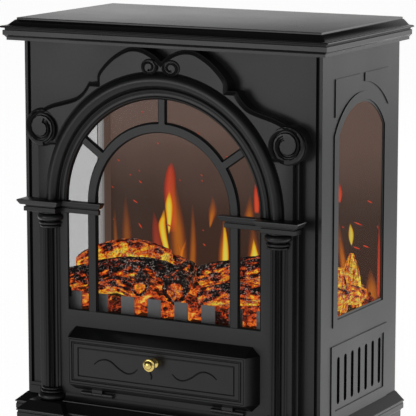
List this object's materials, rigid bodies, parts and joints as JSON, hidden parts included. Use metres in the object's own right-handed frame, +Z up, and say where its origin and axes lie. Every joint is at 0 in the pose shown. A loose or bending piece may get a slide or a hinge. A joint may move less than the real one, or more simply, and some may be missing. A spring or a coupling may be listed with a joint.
{
  "type": "electric fireplace stove",
  "caption": "Free-standing electric fireplace stove with an arched front window, side windows, half-columns, a flip-down control flap and a moulded plinth.",
  "frame": {"origin": "middle of the footprint of the whole stove, on the floor", "axes": "+Z up, +X to the stove's right as seen from the front, -Y out of the front"},
  "size_m": [0.43, 0.2676, 0.6],
  "materials": {
    "black_paint": "satin black powder coat",
    "black_moulding": "satin black cast look",
    "black_plastic": "fine matte",
    "control_plastic": "smooth",
    "window_glass": "clear tempered",
    "polished_brass": "polished",
    "smoked_screen": "smoked acrylic",
    "charred_log": "charred bark",
    "glowing_ember": "lit resin",
    "grey_paint": "matte grey",
    "plated_steel": "zinc plated",
    "heater_ceramic": "dry",
    "circuit_board": "solder mask"
  },
  "bodies": {
    "stove": {"arch_moulding": "black_moulding", "base_pan": "plated_steel", "blower_housing": "black_plastic", "blower_motor": "plated_steel", "cable_gland": "black_plastic", "control_board": "circuit_board", "control_panel": "black_plastic", "dimmer_body": "black_plastic", "ember_bed": "glowing_ember", "ember_fret": "grey_paint", "firebox_tray": "plated_steel", "flame_screen": "smoked_screen", "flap_hinge_leaves": "black_paint", "flap_hinge_pins": "plated_steel", "front_facade": "black_moulding", "front_glass": "window_glass", "front_left_foot": "black_plastic", "front_panel": "black_paint", "front_right_foot": "black_plastic", "glass_clips": "black_plastic", "heater_duct": "plated_steel", "heating_element": "heater_ceramic", "led_boards": "circuit_board", "left_column": "black_moulding", "left_entablature": "black_moulding", "left_side_glass": "window_glass", "left_side_panel": "black_paint", "log_set": "charred_log", "outlet_grille": "black_plastic", "pilaster_blocks": "black_moulding", "plinth_moulding": "black_moulding", "plinth_skirt": "black_moulding", "rear_left_foot": "black_plastic", "rear_panel": "black_paint", "rear_right_foot": "black_plastic", "rear_screws": "plated_steel", "right_column": "black_moulding", "right_entablature": "black_moulding", "right_side_glass": "window_glass", "right_side_panel": "black_paint", "spindle_brackets": "plated_steel", "spindle_motor": "plated_steel", "switch_housings": "black_plastic", "thermal_cutout": "plated_steel", "thermostat_body": "black_plastic", "tip_switch_housing": "black_plastic", "top_slab": "black_paint", "window_muntins": "black_moulding"},
    "flap": {"control_flap": "black_moulding", "flap_knob": "polished_brass"},
    "power_switch": {"power_rocker": "control_plastic"},
    "low_heat_switch": {"low_heat_rocker": "control_plastic"},
    "high_heat_switch": {"high_heat_rocker": "control_plastic"},
    "thermostat": {"thermostat_dial": "control_plastic"},
    "flame_dimmer": {"dimmer_dial": "control_plastic"},
    "blower": {"blower_wheel": "plated_steel"},
    "spindle": {"flame_spindle": "plated_steel"},
    "tip_plunger": {"tip_switch_plunger": "black_plastic"}
  },
  "joints": [
    {"name": "flap_hinge", "type": "hinge", "parent": "stove", "child": "flap", "pos_m": [0, -0.099, 0.1555], "axis": [1, 0, 0], "range_deg": [0, 80]},
    {"name": "power_rock", "type": "hinge", "parent": "stove", "child": "power_switch", "pos_m": [-0.084, -0.0745, 0.197], "axis": [1, 0, 0], "range_deg": [0, 14]},
    {"name": "low_heat_rock", "type": "hinge", "parent": "stove", "child": "low_heat_switch", "pos_m": [-0.048, -0.0745, 0.197], "axis": [1, 0, 0], "range_deg": [0, 14]},
    {"name": "high_heat_rock", "type": "hinge", "parent": "stove", "child": "high_heat_switch", "pos_m": [-0.012, -0.0745, 0.197], "axis": [1, 0, 0], "range_deg": [0, 14]},
    {"name": "thermostat_turn", "type": "hinge", "parent": "stove", "child": "thermostat", "pos_m": [0.038, -0.0782, 0.197], "axis": [0, 1, 0], "range_deg": [0, 270]},
    {"name": "dimmer_turn", "type": "hinge", "parent": "stove", "child": "flame_dimmer", "pos_m": [0.082, -0.0782, 0.197], "axis": [0, 1, 0], "range_deg": [0, 270]},
    {"name": "blower_spin", "type": "hinge", "parent": "stove", "child": "blower", "pos_m": [0, 0.0338, 0.078], "axis": [1, 0, 0], "continuous": true},
    {"name": "spindle_spin", "type": "hinge", "parent": "stove", "child": "spindle", "pos_m": [0, 0.1218, 0.263], "axis": [1, 0, 0], "continuous": true},
    {"name": "tip_plunger_slide", "type": "slide", "parent": "stove", "child": "tip_plunger", "axis": [0, 0, -1], "range_m": [0, 0.004], "stiffness_N_per_m": 60, "springref_m": 0.008}
  ]
}
